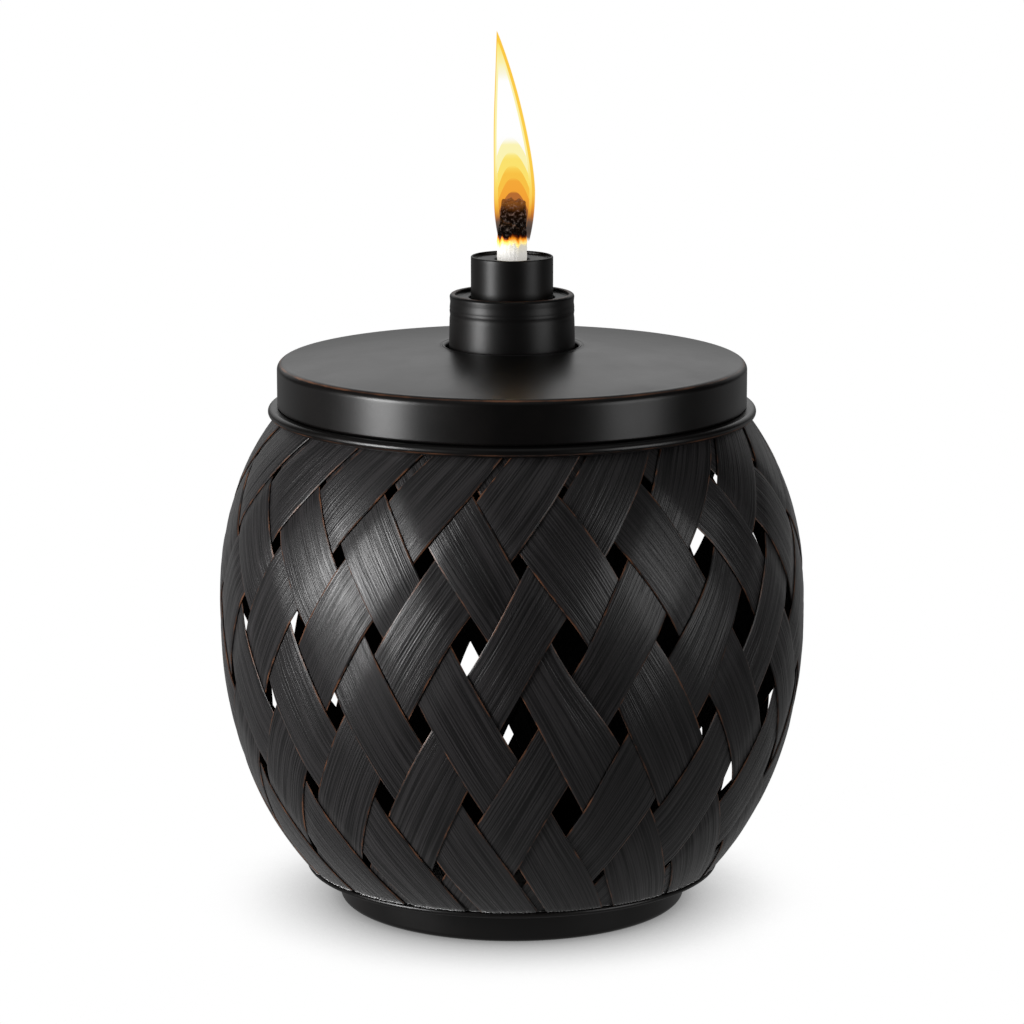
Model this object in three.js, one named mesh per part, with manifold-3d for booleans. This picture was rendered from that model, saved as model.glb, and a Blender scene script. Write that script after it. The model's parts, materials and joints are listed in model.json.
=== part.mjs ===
// A table-top tiki torch: a barrel of woven splints on a spun foot, a lid, a hanging oil tank and a wick burner.
// Millimetres and degrees, +Z up, origin at the middle of the foot where it stands.
import * as THREE from "three";
import { mergeVertices } from "three/addons/utils/BufferGeometryUtils.js";
import Module from "manifold-3d";

const wasm = await Module();
wasm.setup();

// ---------- driving dimensions ----------
const GAP = 0.3; // clearance between pieces that seat on or in each other
const SHEET = 0.7; // spun and pressed steel

// the woven barrel, measured on its outer face
const BELLY_RADIUS = 90;
const BELLY_HEIGHT = 93;
const FULLNESS = 2.25; // exponent of the barrel's outline: 2 is an ellipse, more is squarer
const BASKET_HEIGHT = 153.9; // underside of the rim's ledge

// the splints
const SPLINTS = 20; // in each direction
const SPLINT_WIDTH = 20;
const SPLINT_THICK = 0.6;
const LAYER_STEP = 1.3; // from the middle of an under splint to the middle of the splint over it
const END_GAP = 2.2; // least gap between neighbours, where the barrel narrows
const LEAN_AT_FOOT = 25; // lean of a splint from the upright
const LEAN_AT_RIM = 35;
const ROW_HEIGHT = 100; // height of one row of crossings, where right-leaning splints are outside
const SPREAD = 6.3; // how far the splints are pushed round at the slack side
const SLACK_SIDE = 78; // where the slack side is, round from the front

// the foot
const FOOT_RADIUS = 53.5;
const FOOT_HEIGHT = 10.6; // underside of the ledge that carries the splints
const FOOT_ROUND = 2.8;
const FOOT_STAND_WIDTH = 6.7; // width of the flat ring it stands on
const FOOT_RECESS = 1.5;
const FOOT_RING_RADIUS = 64.4;
const FOOT_LIP = 0.85; // radius of the rolled lip

// the rim and lid
const RIM_BEAD_RADIUS = 74.45;
const RIM_BEAD = 1.45; // radius of the rolled bead
const RIM_NECK_HEIGHT = 8.4;
const HOOP_HEIGHT = 6.5; // both inner hoops
const HOOP_ROOM = 1.5; // between the weave and the inner hoops
const LID_RADIUS = 71.6;
const LID_SKIRT = 13.4;
const LID_ROUND = 2.6;
const LID_CROWN = 5.3;
const LID_HOLE_GAP = 0.9;
const LID_HOLE_CURL = 1;
const LID_PLAY = 1.2; // between the lid's skirt and the rim's neck

// the tank
const TANK_RADIUS = 52;
const TANK_DEPTH = 44;
const TANK_ROUND = 3;
const TANK_SEAM = 2;
const TANK_TOP_RISE = 4;
const TANK_NECK_HEIGHT = 16;
const TANK_NECK_FLANGE = 3.3;

// the burner
const COLLAR_RADIUS = 19.3; // at its foot
const COLLAR_TAPER = 0.4; // how much smaller its top is
const COLLAR_GROOVE = 0.3;
const COLLAR_GROOVE_DEPTH = 6.2; // below the rim
const COLLAR_RIM = 1.3; // height of the rim above the flat
const THREAD_ROOM = 1; // between the neck and the collar
const GASKET_THICK = 1.2;
const HOLDER_RADIUS = 12.5;
const HOLDER_HEIGHT = 13.7; // above its flange
const HOLDER_RIM = 1;
const WICK_RADIUS = 4.55;
const WICK_SHOWS = 17.6; // above the holder
const WICK_CLEARS = 6; // above the tank's bottom, so that it can be let down
const WICK_HOLE_GAP = 0.8;
const GUIDE_LENGTH = 24;
const GUIDE_FLANGE = 2.8;

// the flame
const FLAME_RADIUS = 6.7;
const FLAME_HEIGHT = 64;
const FLAME_LIFT = 4; // above the holder
const FLAME_LEAN = -4.4;

// ---------- heights and radii that follow ----------
const footLedgeTop = FOOT_HEIGHT + SHEET;
const footLipTop = FOOT_HEIGHT + 2 * FOOT_LIP;
const footMouthRadius = FOOT_RING_RADIUS - 2 * FOOT_LIP - GAP;
const splintFoot = footLedgeTop + GAP;
const splintTop = BASKET_HEIGHT - GAP;
const rimLedgeTop = BASKET_HEIGHT + SHEET;
const rimMouthHeight = rimLedgeTop - 2 * RIM_BEAD; // from here up the bead hides the splints
const rimMouthRadius = RIM_BEAD_RADIUS - 2 * RIM_BEAD - GAP;
const rimNeckTop = rimLedgeTop + RIM_NECK_HEIGHT;
const rimNeckRadius = LID_RADIUS - SHEET - LID_PLAY;
const lidFoot = rimLedgeTop + GAP;
const lidEdge = lidFoot + LID_SKIRT;
const tankTop = rimNeckTop + GAP; // underside of the tank's top plate
const tankFloor = tankTop - GAP - TANK_DEPTH;
const tankDeck = tankTop + SHEET + TANK_TOP_RISE; // top plate at the neck
const neckRadius = COLLAR_RADIUS - COLLAR_TAPER - SHEET - THREAD_ROOM;
const neckTop = tankDeck + TANK_NECK_HEIGHT;
const gasketFoot = neckTop + GAP;
const holderFoot = gasketFoot + GASKET_THICK + GAP;
const collarFlat = holderFoot + SHEET + GAP; // underside of the collar's flat
const collarTop = collarFlat + SHEET + COLLAR_RIM;
const collarFoot = tankDeck + 2 * GAP;
const holderTop = holderFoot + SHEET + HOLDER_HEIGHT;
const wickTop = holderTop + WICK_SHOWS;

// ---------- materials ----------
const paint = (color, roughness, metalness) => new THREE.MeshStandardMaterial({ color, roughness, metalness });
const bronzedSteel = paint(0x17161a, 0.38, 0.6);
const tankSteel = paint(0x1c1c1e, 0.5, 0.7);
const splintLacquer = paint(0x242224, 0.5, 0);
const nitrile = paint(0x121212, 0.8, 0);
const glassFibre = paint(0xe9e6de, 0.9, 0);
const flameLight = paint(0xffb020, 0.5, 0);

// ---------- helpers ----------
const torch = new THREE.Group();

function addPiece(name, geometry, material) {
  const mesh = new THREE.Mesh(geometry, material);
  mesh.name = name;
  torch.add(mesh);
}

// Points of a round stretch, about (r, z), from one angle to another.
function arc(r, z, radius, from, to, steps) {
  const points = [];
  for (let i = 0; i <= steps; i++) {
    const angle = THREE.MathUtils.degToRad(from + ((to - from) * i) / steps);
    points.push([r + radius * Math.cos(angle), z + radius * Math.sin(angle)]);
  }
  return points;
}

// Turns an outline of [r, z] points, drawn anticlockwise, about the upright axis.
function turned(outline, segments) {
  const onAxis = outline[0][0] === 0;
  const closed = onAxis ? outline : [...outline, outline[0]];
  const points = closed.map(([r, z]) => new THREE.Vector2(r, z));
  const geometry = new THREE.LatheGeometry(points, segments);
  return geometry.rotateX(Math.PI / 2);
}

function solid(geometry) {
  const bare = geometry.clone();
  bare.deleteAttribute("normal");
  bare.deleteAttribute("uv");
  const merged = mergeVertices(bare, 1e-4);
  const vertProperties = new Float32Array(merged.attributes.position.array);
  const triVerts = new Uint32Array(merged.index.array);
  return new wasm.Manifold(new wasm.Mesh({ numProp: 3, vertProperties, triVerts }));
}

function geometryOf(manifold) {
  const mesh = manifold.getMesh();
  const geometry = new THREE.BufferGeometry();
  geometry.setAttribute("position", new THREE.BufferAttribute(mesh.vertProperties, 3));
  return geometry.setIndex(new THREE.BufferAttribute(mesh.triVerts, 1));
}

// ---------- the barrel's outline ----------
// Each half is a squared ellipse about the belly that passes through its mouth.
function halfSpan(mouthRadius, mouthHeight) {
  const reach = 1 - (mouthRadius / BELLY_RADIUS) ** 2;
  return Math.abs(mouthHeight - BELLY_HEIGHT) / reach ** (1 / FULLNESS);
}
const spanAbove = halfSpan(rimMouthRadius, rimMouthHeight);
const spanBelow = halfSpan(footMouthRadius, footLipTop);

// Slope of the outline, as radius gained for each millimetre of height. It stays the same past the mouths.
function barrelSlope(z) {
  const within = THREE.MathUtils.clamp(z, splintFoot, splintTop);
  const span = within > BELLY_HEIGHT ? spanAbove : spanBelow;
  const share = Math.abs(within - BELLY_HEIGHT) / span;
  const steepness = (FULLNESS * share ** (FULLNESS - 1)) / (2 * Math.sqrt(1 - share ** FULLNESS));
  return ((BELLY_RADIUS * steepness) / span) * Math.sign(BELLY_HEIGHT - within);
}

function barrelRadius(z) {
  const within = THREE.MathUtils.clamp(z, splintFoot, splintTop);
  const span = within > BELLY_HEIGHT ? spanAbove : spanBelow;
  const share = Math.abs(within - BELLY_HEIGHT) / span;
  return BELLY_RADIUS * Math.sqrt(1 - share ** FULLNESS) + barrelSlope(within) * (z - within);
}

// A point that lies a depth inside the barrel's outer face, square to it, at a turn round the axis.
function insideBarrel(turn, z, depth) {
  const slope = barrelSlope(z);
  const along = depth / Math.hypot(1, slope);
  const radius = barrelRadius(z) - along;
  const angle = THREE.MathUtils.degToRad(turn);
  return [radius * Math.sin(angle), -radius * Math.cos(angle), z + along * slope];
}

// ---------- the weave ----------
const weaveMargin = 30; // splints are made too long, and then trimmed
const weaveStep = 0.5;
const halfPitch = 180 / SPLINTS;

function leanAt(z) {
  const share = (z - splintFoot) / (splintTop - splintFoot);
  return THREE.MathUtils.degToRad(LEAN_AT_FOOT + (LEAN_AT_RIM - LEAN_AT_FOOT) * share);
}

// How far round a leaning splint has gone at each height, counted from ROW_HEIGHT.
const course = [];
for (let z = splintFoot - weaveMargin; z <= splintTop + weaveMargin; z += weaveStep) {
  const last = course.at(-1);
  const middle = z - weaveStep / 2;
  const rise = Math.hypot(1, barrelSlope(middle)) * weaveStep;
  const gain = (rise * Math.tan(leanAt(middle))) / barrelRadius(middle);
  course.push({ z, turn: last ? last.turn + THREE.MathUtils.radToDeg(gain) : 0 });
}
const rowTurn = course.find((c) => c.z >= ROW_HEIGHT).turn;
course.forEach((c) => (c.turn -= rowTurn));

function heightAtTurn(turn) {
  const i = course.findIndex((c) => c.turn >= turn);
  const share = (turn - course[i - 1].turn) / (course[i].turn - course[i - 1].turn);
  return THREE.MathUtils.lerp(course[i - 1].z, course[i].z, share);
}

// Where splint number k crosses the row at ROW_HEIGHT. The splints stand apart at the slack side.
function splintTurn(k) {
  const even = (360 / SPLINTS) * k;
  const slack = (1 + Math.cos(THREE.MathUtils.degToRad(even - SLACK_SIDE))) / 2;
  return even + SPREAD * slack ** 3;
}

// Half of splint k's width as a turn round the barrel at a height, kept clear of its neighbours.
function halfTurn(k, z) {
  const room = Math.min(splintTurn(k + 1) - splintTurn(k), splintTurn(k) - splintTurn(k - 1)) / 2;
  const perMillimetre = THREE.MathUtils.radToDeg(1 / (barrelRadius(z) * Math.cos(leanAt(z))));
  return Math.min((SPLINT_WIDTH / 2) * perMillimetre, room - (END_GAP / 2) * perMillimetre);
}

// One splint. Side is 1 for the right-leaning splints and -1 for the left-leaning ones.
// Its cross-sections lie along the splints that cross it, so that each step over or under them is clean.
function splintGeometry(k, side) {
  const here = splintTurn(k);
  const lowest = course[0].turn;
  const highest = course.at(-1).turn;
  const settle = 0.7; // the step starts this far beyond the crossing splint's edge, in degrees
  const sections = [];
  for (let j = k - SPLINTS; j <= k + SPLINTS; j++) {
    const there = splintTurn(j);
    const turn = (side * (there - here)) / 2;
    if (turn < lowest + halfPitch || turn > highest - halfPitch) continue;
    const over = (j - k) % 2 === 0 ? side : -side;
    const half = halfTurn(j, heightAtTurn(turn)) + settle;
    const level = (over * LAYER_STEP) / 2;
    sections.push({ at: there - half, level });
    if (over > 0) sections.push({ at: there, level });
    sections.push({ at: there + half, level });
  }
  const positions = [];
  for (const { at, level } of sections) {
    for (const share of [-1, 0, 1]) {
      let edge = here;
      for (let pass = 0; pass < 3; pass++) {
        const z = heightAtTurn((side * (at - edge)) / 2);
        edge = here + share * halfTurn(k, z);
      }
      const z = heightAtTurn((side * (at - edge)) / 2);
      const middle = (LAYER_STEP + SPLINT_THICK) / 2 - level;
      positions.push(...insideBarrel((edge + at) / 2, z, middle - SPLINT_THICK / 2));
      positions.push(...insideBarrel((edge + at) / 2, z, middle + SPLINT_THICK / 2));
    }
  }
  // Each section has six corners: outer and inner, at the left edge, the middle and the right edge.
  const ring = [0, 2, 4, 5, 3, 1];
  const triangles = [];
  for (let s = 0; s + 1 < sections.length; s++) {
    ring.forEach((a, i) => {
      const b = ring[(i + 1) % ring.length];
      const [p, q] = [6 * s, 6 * (s + 1)];
      triangles.push(p + a, p + b, q + b, p + a, q + b, q + a);
    });
  }
  const last = 6 * (sections.length - 1);
  triangles.push(0, 1, 3, 0, 3, 2, 2, 3, 5, 2, 5, 4);
  triangles.push(last, last + 3, last + 1, last, last + 2, last + 3);
  triangles.push(last + 2, last + 5, last + 3, last + 2, last + 4, last + 5);
  const geometry = new THREE.BufferGeometry();
  geometry.setAttribute("position", new THREE.Float32BufferAttribute(positions, 3));
  geometry.setIndex(side > 0 ? triangles : triangles.map((_, i) => triangles[i - (i % 3) + 2 - (i % 3)]));
  return geometry;
}

function addWeave() {
  const height = splintTop - splintFoot;
  const slab = new THREE.BoxGeometry(3 * BELLY_RADIUS, 3 * BELLY_RADIUS, height);
  const between = solid(slab.translate(0, 0, splintFoot + height / 2));
  for (const [name, side] of [["right", 1], ["left", -1]]) {
    for (let k = 0; k < SPLINTS; k++) {
      const lengths = solid(splintGeometry(k, side)).intersect(between).decompose();
      const [trimmed] = lengths.sort((a, b) => b.volume() - a.volume()); // a sliver past the cut is left out
      const number = String(k + 1).padStart(2, "0");
      addPiece(`splint_${name}_${number}`, geometryOf(trimmed), splintLacquer);
    }
  }
}

// A flat hoop inside the weave that holds the splints' ends, from one height to another.
function hoopOutline(from, to) {
  const weaveDepth = LAYER_STEP + SPLINT_THICK + HOOP_ROOM;
  const outer = [];
  const inner = [];
  for (const z of [from, to]) {
    const square = Math.hypot(1, barrelSlope(z));
    outer.push([barrelRadius(z) - weaveDepth * square, z]);
    inner.unshift([barrelRadius(z) - (weaveDepth + SHEET) * square, z]);
  }
  return [...outer, ...inner];
}

// ---------- the foot and rim ----------
function footOutline() {
  const standOuter = FOOT_RADIUS - FOOT_ROUND;
  const standInner = standOuter - FOOT_STAND_WIDTH;
  const ringMiddle = FOOT_RING_RADIUS - FOOT_LIP;
  return [
    [0, FOOT_RECESS],
    [standInner - FOOT_RECESS, FOOT_RECESS],
    [standInner, 0],
    ...arc(standOuter, FOOT_ROUND, FOOT_ROUND, -90, 0, 2),
    [FOOT_RADIUS, FOOT_HEIGHT - 1],
    [FOOT_RADIUS + 1, FOOT_HEIGHT],
    ...arc(ringMiddle, FOOT_HEIGHT + FOOT_LIP, FOOT_LIP, -90, 180, 4),
    [ringMiddle - FOOT_LIP, footLedgeTop],
    [FOOT_RADIUS + 0.6, footLedgeTop],
    [FOOT_RADIUS - SHEET, FOOT_HEIGHT - 0.6],
    [FOOT_RADIUS - SHEET, FOOT_ROUND],
    [standOuter, SHEET],
    [standInner + 0.3, SHEET],
    [standInner - FOOT_RECESS + 0.3, FOOT_RECESS + SHEET],
    [0, FOOT_RECESS + SHEET],
  ];
}

function rimOutline() {
  const beadMiddle = RIM_BEAD_RADIUS - RIM_BEAD;
  const beadHeight = rimLedgeTop - RIM_BEAD;
  const joins = THREE.MathUtils.radToDeg(Math.asin((RIM_BEAD - SHEET) / RIM_BEAD));
  return [
    [rimNeckRadius - SHEET, BASKET_HEIGHT],
    ...arc(beadMiddle, beadHeight, RIM_BEAD, 180 - joins, 450, 7),
    [rimNeckRadius, rimLedgeTop],
    [rimNeckRadius, rimNeckTop],
    [rimNeckRadius - SHEET, rimNeckTop],
  ];
}

// ---------- the lid ----------
function lidOutline() {
  const hole = COLLAR_RADIUS + LID_HOLE_GAP;
  const flatEdge = LID_RADIUS - LID_ROUND;
  const crownAt = (r) => lidEdge + LID_CROWN * (1 - (r / flatEdge) ** 2);
  const rings = [0.75, 0.5].map((share) => hole + LID_HOLE_CURL + share * (flatEdge - hole));
  const curlTop = crownAt(hole + LID_HOLE_CURL);
  return [
    [LID_RADIUS - SHEET, lidFoot],
    [LID_RADIUS, lidFoot],
    ...arc(flatEdge, lidEdge - LID_ROUND, LID_ROUND, 0, 90, 3),
    ...rings.map((r) => [r, crownAt(r)]),
    ...arc(hole + LID_HOLE_CURL, curlTop - LID_HOLE_CURL, LID_HOLE_CURL, 90, 180, 3),
    [hole + SHEET, curlTop - LID_HOLE_CURL],
    [hole + LID_HOLE_CURL, curlTop - SHEET],
    ...rings.toReversed().map((r) => [r, crownAt(r) - SHEET]),
    ...arc(flatEdge, lidEdge - LID_ROUND, LID_ROUND - SHEET, 90, 0, 2),
  ];
}

// ---------- the tank ----------
function tankCupOutline() {
  const inside = TANK_RADIUS - SHEET;
  const top = tankTop - GAP;
  return [
    [0, tankFloor],
    [TANK_RADIUS - TANK_ROUND, tankFloor],
    [TANK_RADIUS, tankFloor + TANK_ROUND],
    [TANK_RADIUS, top - SHEET],
    [TANK_RADIUS + TANK_SEAM, top - SHEET],
    [TANK_RADIUS + TANK_SEAM, top],
    [inside, top],
    [inside, tankFloor + TANK_ROUND],
    [inside + SHEET - TANK_ROUND, tankFloor + SHEET],
    [0, tankFloor + SHEET],
  ];
}

function tankTopOutline() {
  const hole = neckRadius + 1.5 * GAP;
  const deckEdge = neckRadius + TANK_NECK_FLANGE + 1.5;
  const shoulder = TANK_RADIUS - TANK_ROUND;
  const plate = (lift) => [
    [shoulder, tankTop + lift],
    [deckEdge, tankDeck - SHEET + lift],
    [hole, tankDeck - SHEET + lift],
  ];
  return [
    [rimNeckRadius, tankTop],
    [rimNeckRadius, tankTop + SHEET],
    ...plate(SHEET),
    ...plate(0).reverse(),
  ];
}

function tankNeckOutline() {
  const flange = neckRadius + TANK_NECK_FLANGE;
  const flangeTop = tankDeck - SHEET - GAP;
  return [
    [neckRadius - SHEET, flangeTop - SHEET],
    [flange, flangeTop - SHEET],
    [flange, flangeTop],
    [neckRadius, flangeTop],
    [neckRadius, neckTop],
    [neckRadius - SHEET, neckTop],
  ];
}

// ---------- the burner ----------
function collarOutline() {
  const top = COLLAR_RADIUS - COLLAR_TAPER;
  const groove = collarTop - COLLAR_GROOVE_DEPTH;
  const rimInner = top - 1.3;
  return [
    [COLLAR_RADIUS, collarFoot],
    [top + 0.1, groove - 0.6],
    [top + 0.1 - COLLAR_GROOVE, groove],
    [top, groove + 0.6],
    [top, collarTop - 0.7],
    [top - 0.5, collarTop],
    [rimInner + 0.2, collarTop],
    [rimInner, collarFlat + SHEET],
    [HOLDER_RADIUS + 2 * GAP, collarFlat + SHEET],
    [HOLDER_RADIUS + 2 * GAP, collarFlat],
    [top - SHEET, collarFlat],
    [COLLAR_RADIUS - SHEET, collarFoot],
  ];
}

function gasketOutline() {
  return [
    [HOLDER_RADIUS + SHEET, gasketFoot],
    [neckRadius, gasketFoot],
    [neckRadius, gasketFoot + GASKET_THICK],
    [HOLDER_RADIUS + SHEET, gasketFoot + GASKET_THICK],
  ];
}

function holderOutline() {
  const inside = HOLDER_RADIUS - SHEET;
  const hole = WICK_RADIUS + WICK_HOLE_GAP;
  const face = holderTop - HOLDER_RIM;
  return [
    [inside, holderFoot],
    [neckRadius, holderFoot],
    [neckRadius, holderFoot + SHEET],
    [HOLDER_RADIUS, holderFoot + SHEET],
    [HOLDER_RADIUS, holderTop - 0.4],
    [HOLDER_RADIUS - 0.3, holderTop],
    [inside + 0.1, holderTop],
    [inside, face],
    [hole, face],
    [hole, face - SHEET],
    [inside, face - SHEET],
  ];
}

function guideOutline() {
  const bore = WICK_RADIUS + GAP;
  const top = holderTop - HOLDER_RIM - SHEET - GAP;
  return [
    [bore, top - GUIDE_LENGTH],
    [bore + SHEET, top - GUIDE_LENGTH],
    [bore + SHEET, top - SHEET],
    [bore + GUIDE_FLANGE, top - SHEET],
    [bore + GUIDE_FLANGE, top],
    [bore, top],
  ];
}

function wickOutline() {
  const foot = tankFloor + SHEET + WICK_CLEARS;
  return [
    [0, foot],
    [WICK_RADIUS, foot],
    [WICK_RADIUS, wickTop - 2],
    [WICK_RADIUS - 1.2, wickTop],
    [0, wickTop],
  ];
}

// The flame is the glowing gas round the wick's end, with room for the wick up its middle.
function flameGeometry() {
  const foot = holderTop + FLAME_LIFT;
  const widths = [0.72, 0.93, 1, 0.92, 0.75, 0.5, 0.24];
  const outline = widths.map((width, i) => [FLAME_RADIUS * width, foot + (FLAME_HEIGHT * i) / widths.length]);
  const body = turned([[0, foot], ...outline, [0, foot + FLAME_HEIGHT]], 16);
  const bore = WICK_RADIUS + GAP;
  const room = [[0, foot - 1], [bore, foot - 1], [bore, wickTop + GAP], [0, wickTop + GAP]];
  const open = geometryOf(solid(body).subtract(solid(turned(room, 16))));
  const at = open.attributes.position;
  for (let i = 0; i < at.count; i++) {
    const above = Math.max(0, at.getZ(i) - wickTop - GAP) / (foot + FLAME_HEIGHT - wickTop - GAP);
    at.setX(i, at.getX(i) + FLAME_LEAN * above);
  }
  return open;
}

// ---------- the whole torch ----------
addPiece("foot_dish", turned(footOutline(), 36), bronzedSteel);
addPiece("foot_hoop", turned(hoopOutline(splintFoot, splintFoot + HOOP_HEIGHT), 36), bronzedSteel);
addWeave();
addPiece("rim_hoop", turned(hoopOutline(splintTop - HOOP_HEIGHT, splintTop), 36), bronzedSteel);
addPiece("rim_band", turned(rimOutline(), 36), bronzedSteel);
addPiece("lid", turned(lidOutline(), 36), bronzedSteel);
addPiece("tank_cup", turned(tankCupOutline(), 28), tankSteel);
addPiece("tank_top", turned(tankTopOutline(), 28), tankSteel);
addPiece("tank_neck", turned(tankNeckOutline(), 24), tankSteel);
addPiece("neck_gasket", turned(gasketOutline(), 24), nitrile);
addPiece("burner_collar", turned(collarOutline(), 28), bronzedSteel);
addPiece("wick_holder", turned(holderOutline(), 24), bronzedSteel);
addPiece("wick_guide", turned(guideOutline(), 16), tankSteel);
addPiece("wick", turned(wickOutline(), 16), glassFibre);
addPiece("flame", flameGeometry(), flameLight);

export default torch;
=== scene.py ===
# Table-top tiki torch: a barrel of woven black splints on a spun foot, with a lid, an oil tank and a lit burner.
import json
import math

import bmesh
import bpy
import numpy as np
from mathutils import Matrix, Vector, noise


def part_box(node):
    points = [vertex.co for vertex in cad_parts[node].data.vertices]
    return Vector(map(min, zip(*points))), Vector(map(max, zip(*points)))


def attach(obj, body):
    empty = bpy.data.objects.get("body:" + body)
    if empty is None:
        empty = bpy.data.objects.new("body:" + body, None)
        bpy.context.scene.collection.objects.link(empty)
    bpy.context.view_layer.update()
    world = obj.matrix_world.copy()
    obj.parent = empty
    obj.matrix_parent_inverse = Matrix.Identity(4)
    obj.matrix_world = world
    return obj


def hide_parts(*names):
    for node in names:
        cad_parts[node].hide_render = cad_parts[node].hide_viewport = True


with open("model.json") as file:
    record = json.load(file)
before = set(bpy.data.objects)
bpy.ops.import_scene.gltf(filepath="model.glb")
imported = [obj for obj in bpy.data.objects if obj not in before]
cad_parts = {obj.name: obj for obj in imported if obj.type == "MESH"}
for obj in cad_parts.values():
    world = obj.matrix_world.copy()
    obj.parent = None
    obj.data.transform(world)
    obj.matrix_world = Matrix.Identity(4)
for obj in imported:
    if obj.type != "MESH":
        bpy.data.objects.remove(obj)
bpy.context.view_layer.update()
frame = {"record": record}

scene = bpy.context.scene
record = frame["record"]
bodyOfNode = {node: body for body, nodes in record["behaviour"]["bodies"].items() for node in nodes}


def boxMm(node):  # lowest and highest corner of a node, in millimetres
    low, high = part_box(node)
    return [1000 * v for v in low], [1000 * v for v in high]


def hexLinear(text):  # an sRGB hex colour in linear light
    channels = [int(text[i:i + 2], 16) / 255 for i in (1, 3, 5)]
    return (*[c / 12.92 if c <= 0.04045 else ((c + 0.055) / 1.055) ** 2.4 for c in channels], 1)


def addNode(tree, kind, links=None, **settings):  # links: input name or number to a value or another node's output
    node = tree.nodes.new(kind)
    for name, value in settings.items():
        setattr(node, name, value)
    for name, value in (links or {}).items():
        if isinstance(value, bpy.types.NodeSocket):
            tree.links.new(value, node.inputs[name])
        else:
            node.inputs[name].default_value = value
    return node


def setRamp(node, stops):  # each stop has a place and a hex colour
    elements = node.color_ramp.elements
    while len(elements) < len(stops):
        elements.new(0.5)
    for element, (place, colour) in zip(elements, stops):
        element.position = place
        element.color = hexLinear(colour)
    return node.outputs["Color"]


def newMaterial(name):
    material = bpy.data.materials.new(name)
    material.use_nodes = True
    material.node_tree.nodes.clear()
    return material, material.node_tree


# Satin black lacquer over bronzed steel sheet: nearly black, softly glossy, rubbed through to copper on its edges.
bronze = {
    "black": "#0a0909", "brown": "#110e0d", "copper": "#7a5037", "darkCopper": "#452c1f",
    "sheetRoughness": (0.29, 0.35), "capRoughness": (0.38, 0.44), "capShine": 0.38,
    "mottleMm": 22, "peelMm": 0.9, "peelDepthMm": 0.010, "breakMm": 9,
}


def bronzedSteel(name, roughness, shine=0.5):
    material, tree = newMaterial(name)
    place = addNode(tree, "ShaderNodeTexCoord").outputs["Object"]
    mottle = addNode(tree, "ShaderNodeTexNoise", {"Vector": place, "Scale": 1000 / bronze["mottleMm"], "Detail": 5.0,
                                                  "Roughness": 0.6})
    peel = addNode(tree, "ShaderNodeTexNoise", {"Vector": place, "Scale": 1000 / bronze["peelMm"], "Detail": 3.0})
    broken = addNode(tree, "ShaderNodeTexNoise", {"Vector": place, "Scale": 1000 / bronze["breakMm"], "Detail": 3.0,
                                                  "Roughness": 0.5})
    breakShare = addNode(tree, "ShaderNodeMapRange", {"Value": broken.outputs["Fac"], "From Min": 0.3, "From Max": 0.7,
                                                      "To Min": 0.75, "To Max": 1.12})
    ground = addNode(tree, "ShaderNodeValToRGB", {"Fac": mottle.outputs["Fac"]})
    groundColour = setRamp(ground, [(0.35, bronze["black"]), (0.72, bronze["brown"])])
    wear = addNode(tree, "ShaderNodeAttribute", attribute_name="wear")
    rubbed = addNode(tree, "ShaderNodeMath", {0: wear.outputs["Fac"], 1: breakShare.outputs[0]}, operation="MULTIPLY")
    rubbedShare = addNode(tree, "ShaderNodeMapRange", {"Value": rubbed.outputs[0], "From Min": 0.45, "From Max": 0.8})
    copperTone = addNode(tree, "ShaderNodeValToRGB", {"Fac": broken.outputs["Fac"]})
    copperColour = setRamp(copperTone, [(0.4, bronze["darkCopper"]), (0.65, bronze["copper"])])
    colour = addNode(tree, "ShaderNodeMix", {0: rubbedShare.outputs[0], 6: groundColour, 7: copperColour},
                     data_type="RGBA")
    rough = addNode(tree, "ShaderNodeMapRange", {"Value": mottle.outputs["Fac"], "From Min": 0.3, "From Max": 0.7,
                                                 "To Min": roughness[0], "To Max": roughness[1]})
    bump = addNode(tree, "ShaderNodeBump", {"Height": peel.outputs["Fac"], "Distance": bronze["peelDepthMm"] / 1000,
                                            "Strength": 1.0})
    shader = addNode(tree, "ShaderNodeBsdfPrincipled", {
        "Base Color": colour.outputs[2], "Roughness": rough.outputs[0], "Normal": bump.outputs[0],
        "Metallic": 0.0, "IOR": 1.5, "Specular IOR Level": shine})
    addNode(tree, "ShaderNodeOutputMaterial", {"Surface": shader.outputs[0]})
    return material


# Split bamboo under black lacquer: long silky fibres that catch the light in streaks, brown where the cut edge is bare.
bamboo = {
    "dark": "#0c0b0c", "light": "#363435", "edge": "#714a33", "darkEdge": "#35241b",
    "fibreMm": 0.45, "bundleMm": 1.7, "stretch": 0.010, "fibreDepthMm": 0.14, "breakMm": 6.25,
    "roughness": (0.28, 0.44),
}


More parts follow.
